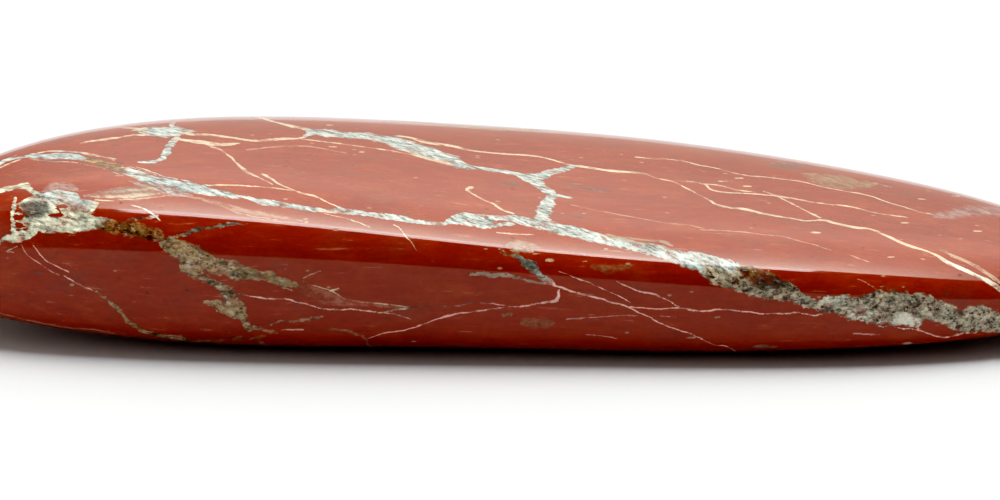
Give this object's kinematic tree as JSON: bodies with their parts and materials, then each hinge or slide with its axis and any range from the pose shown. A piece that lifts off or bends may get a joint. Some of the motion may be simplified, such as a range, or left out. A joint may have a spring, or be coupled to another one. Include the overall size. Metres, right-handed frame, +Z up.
{
  "type": "red jasper stone",
  "caption": "Polished slab of natural red jasper that tapers from a thick end to a thin end, with a broad top, a steep side and pale veins.",
  "frame": {"origin": "on the resting plane, inside the flat spot, below the middle of the stone's length", "axes": "+X along the length from the thick end to the thin end, -Y out of the long steep side, +Z up"},
  "size_m": [0.123, 0.0458, 0.0166],
  "materials": {
    "polished_red_jasper": "polished"
  },
  "bodies": {
    "root": {"red_jasper": "polished_red_jasper"}
  },
  "joints": []
}
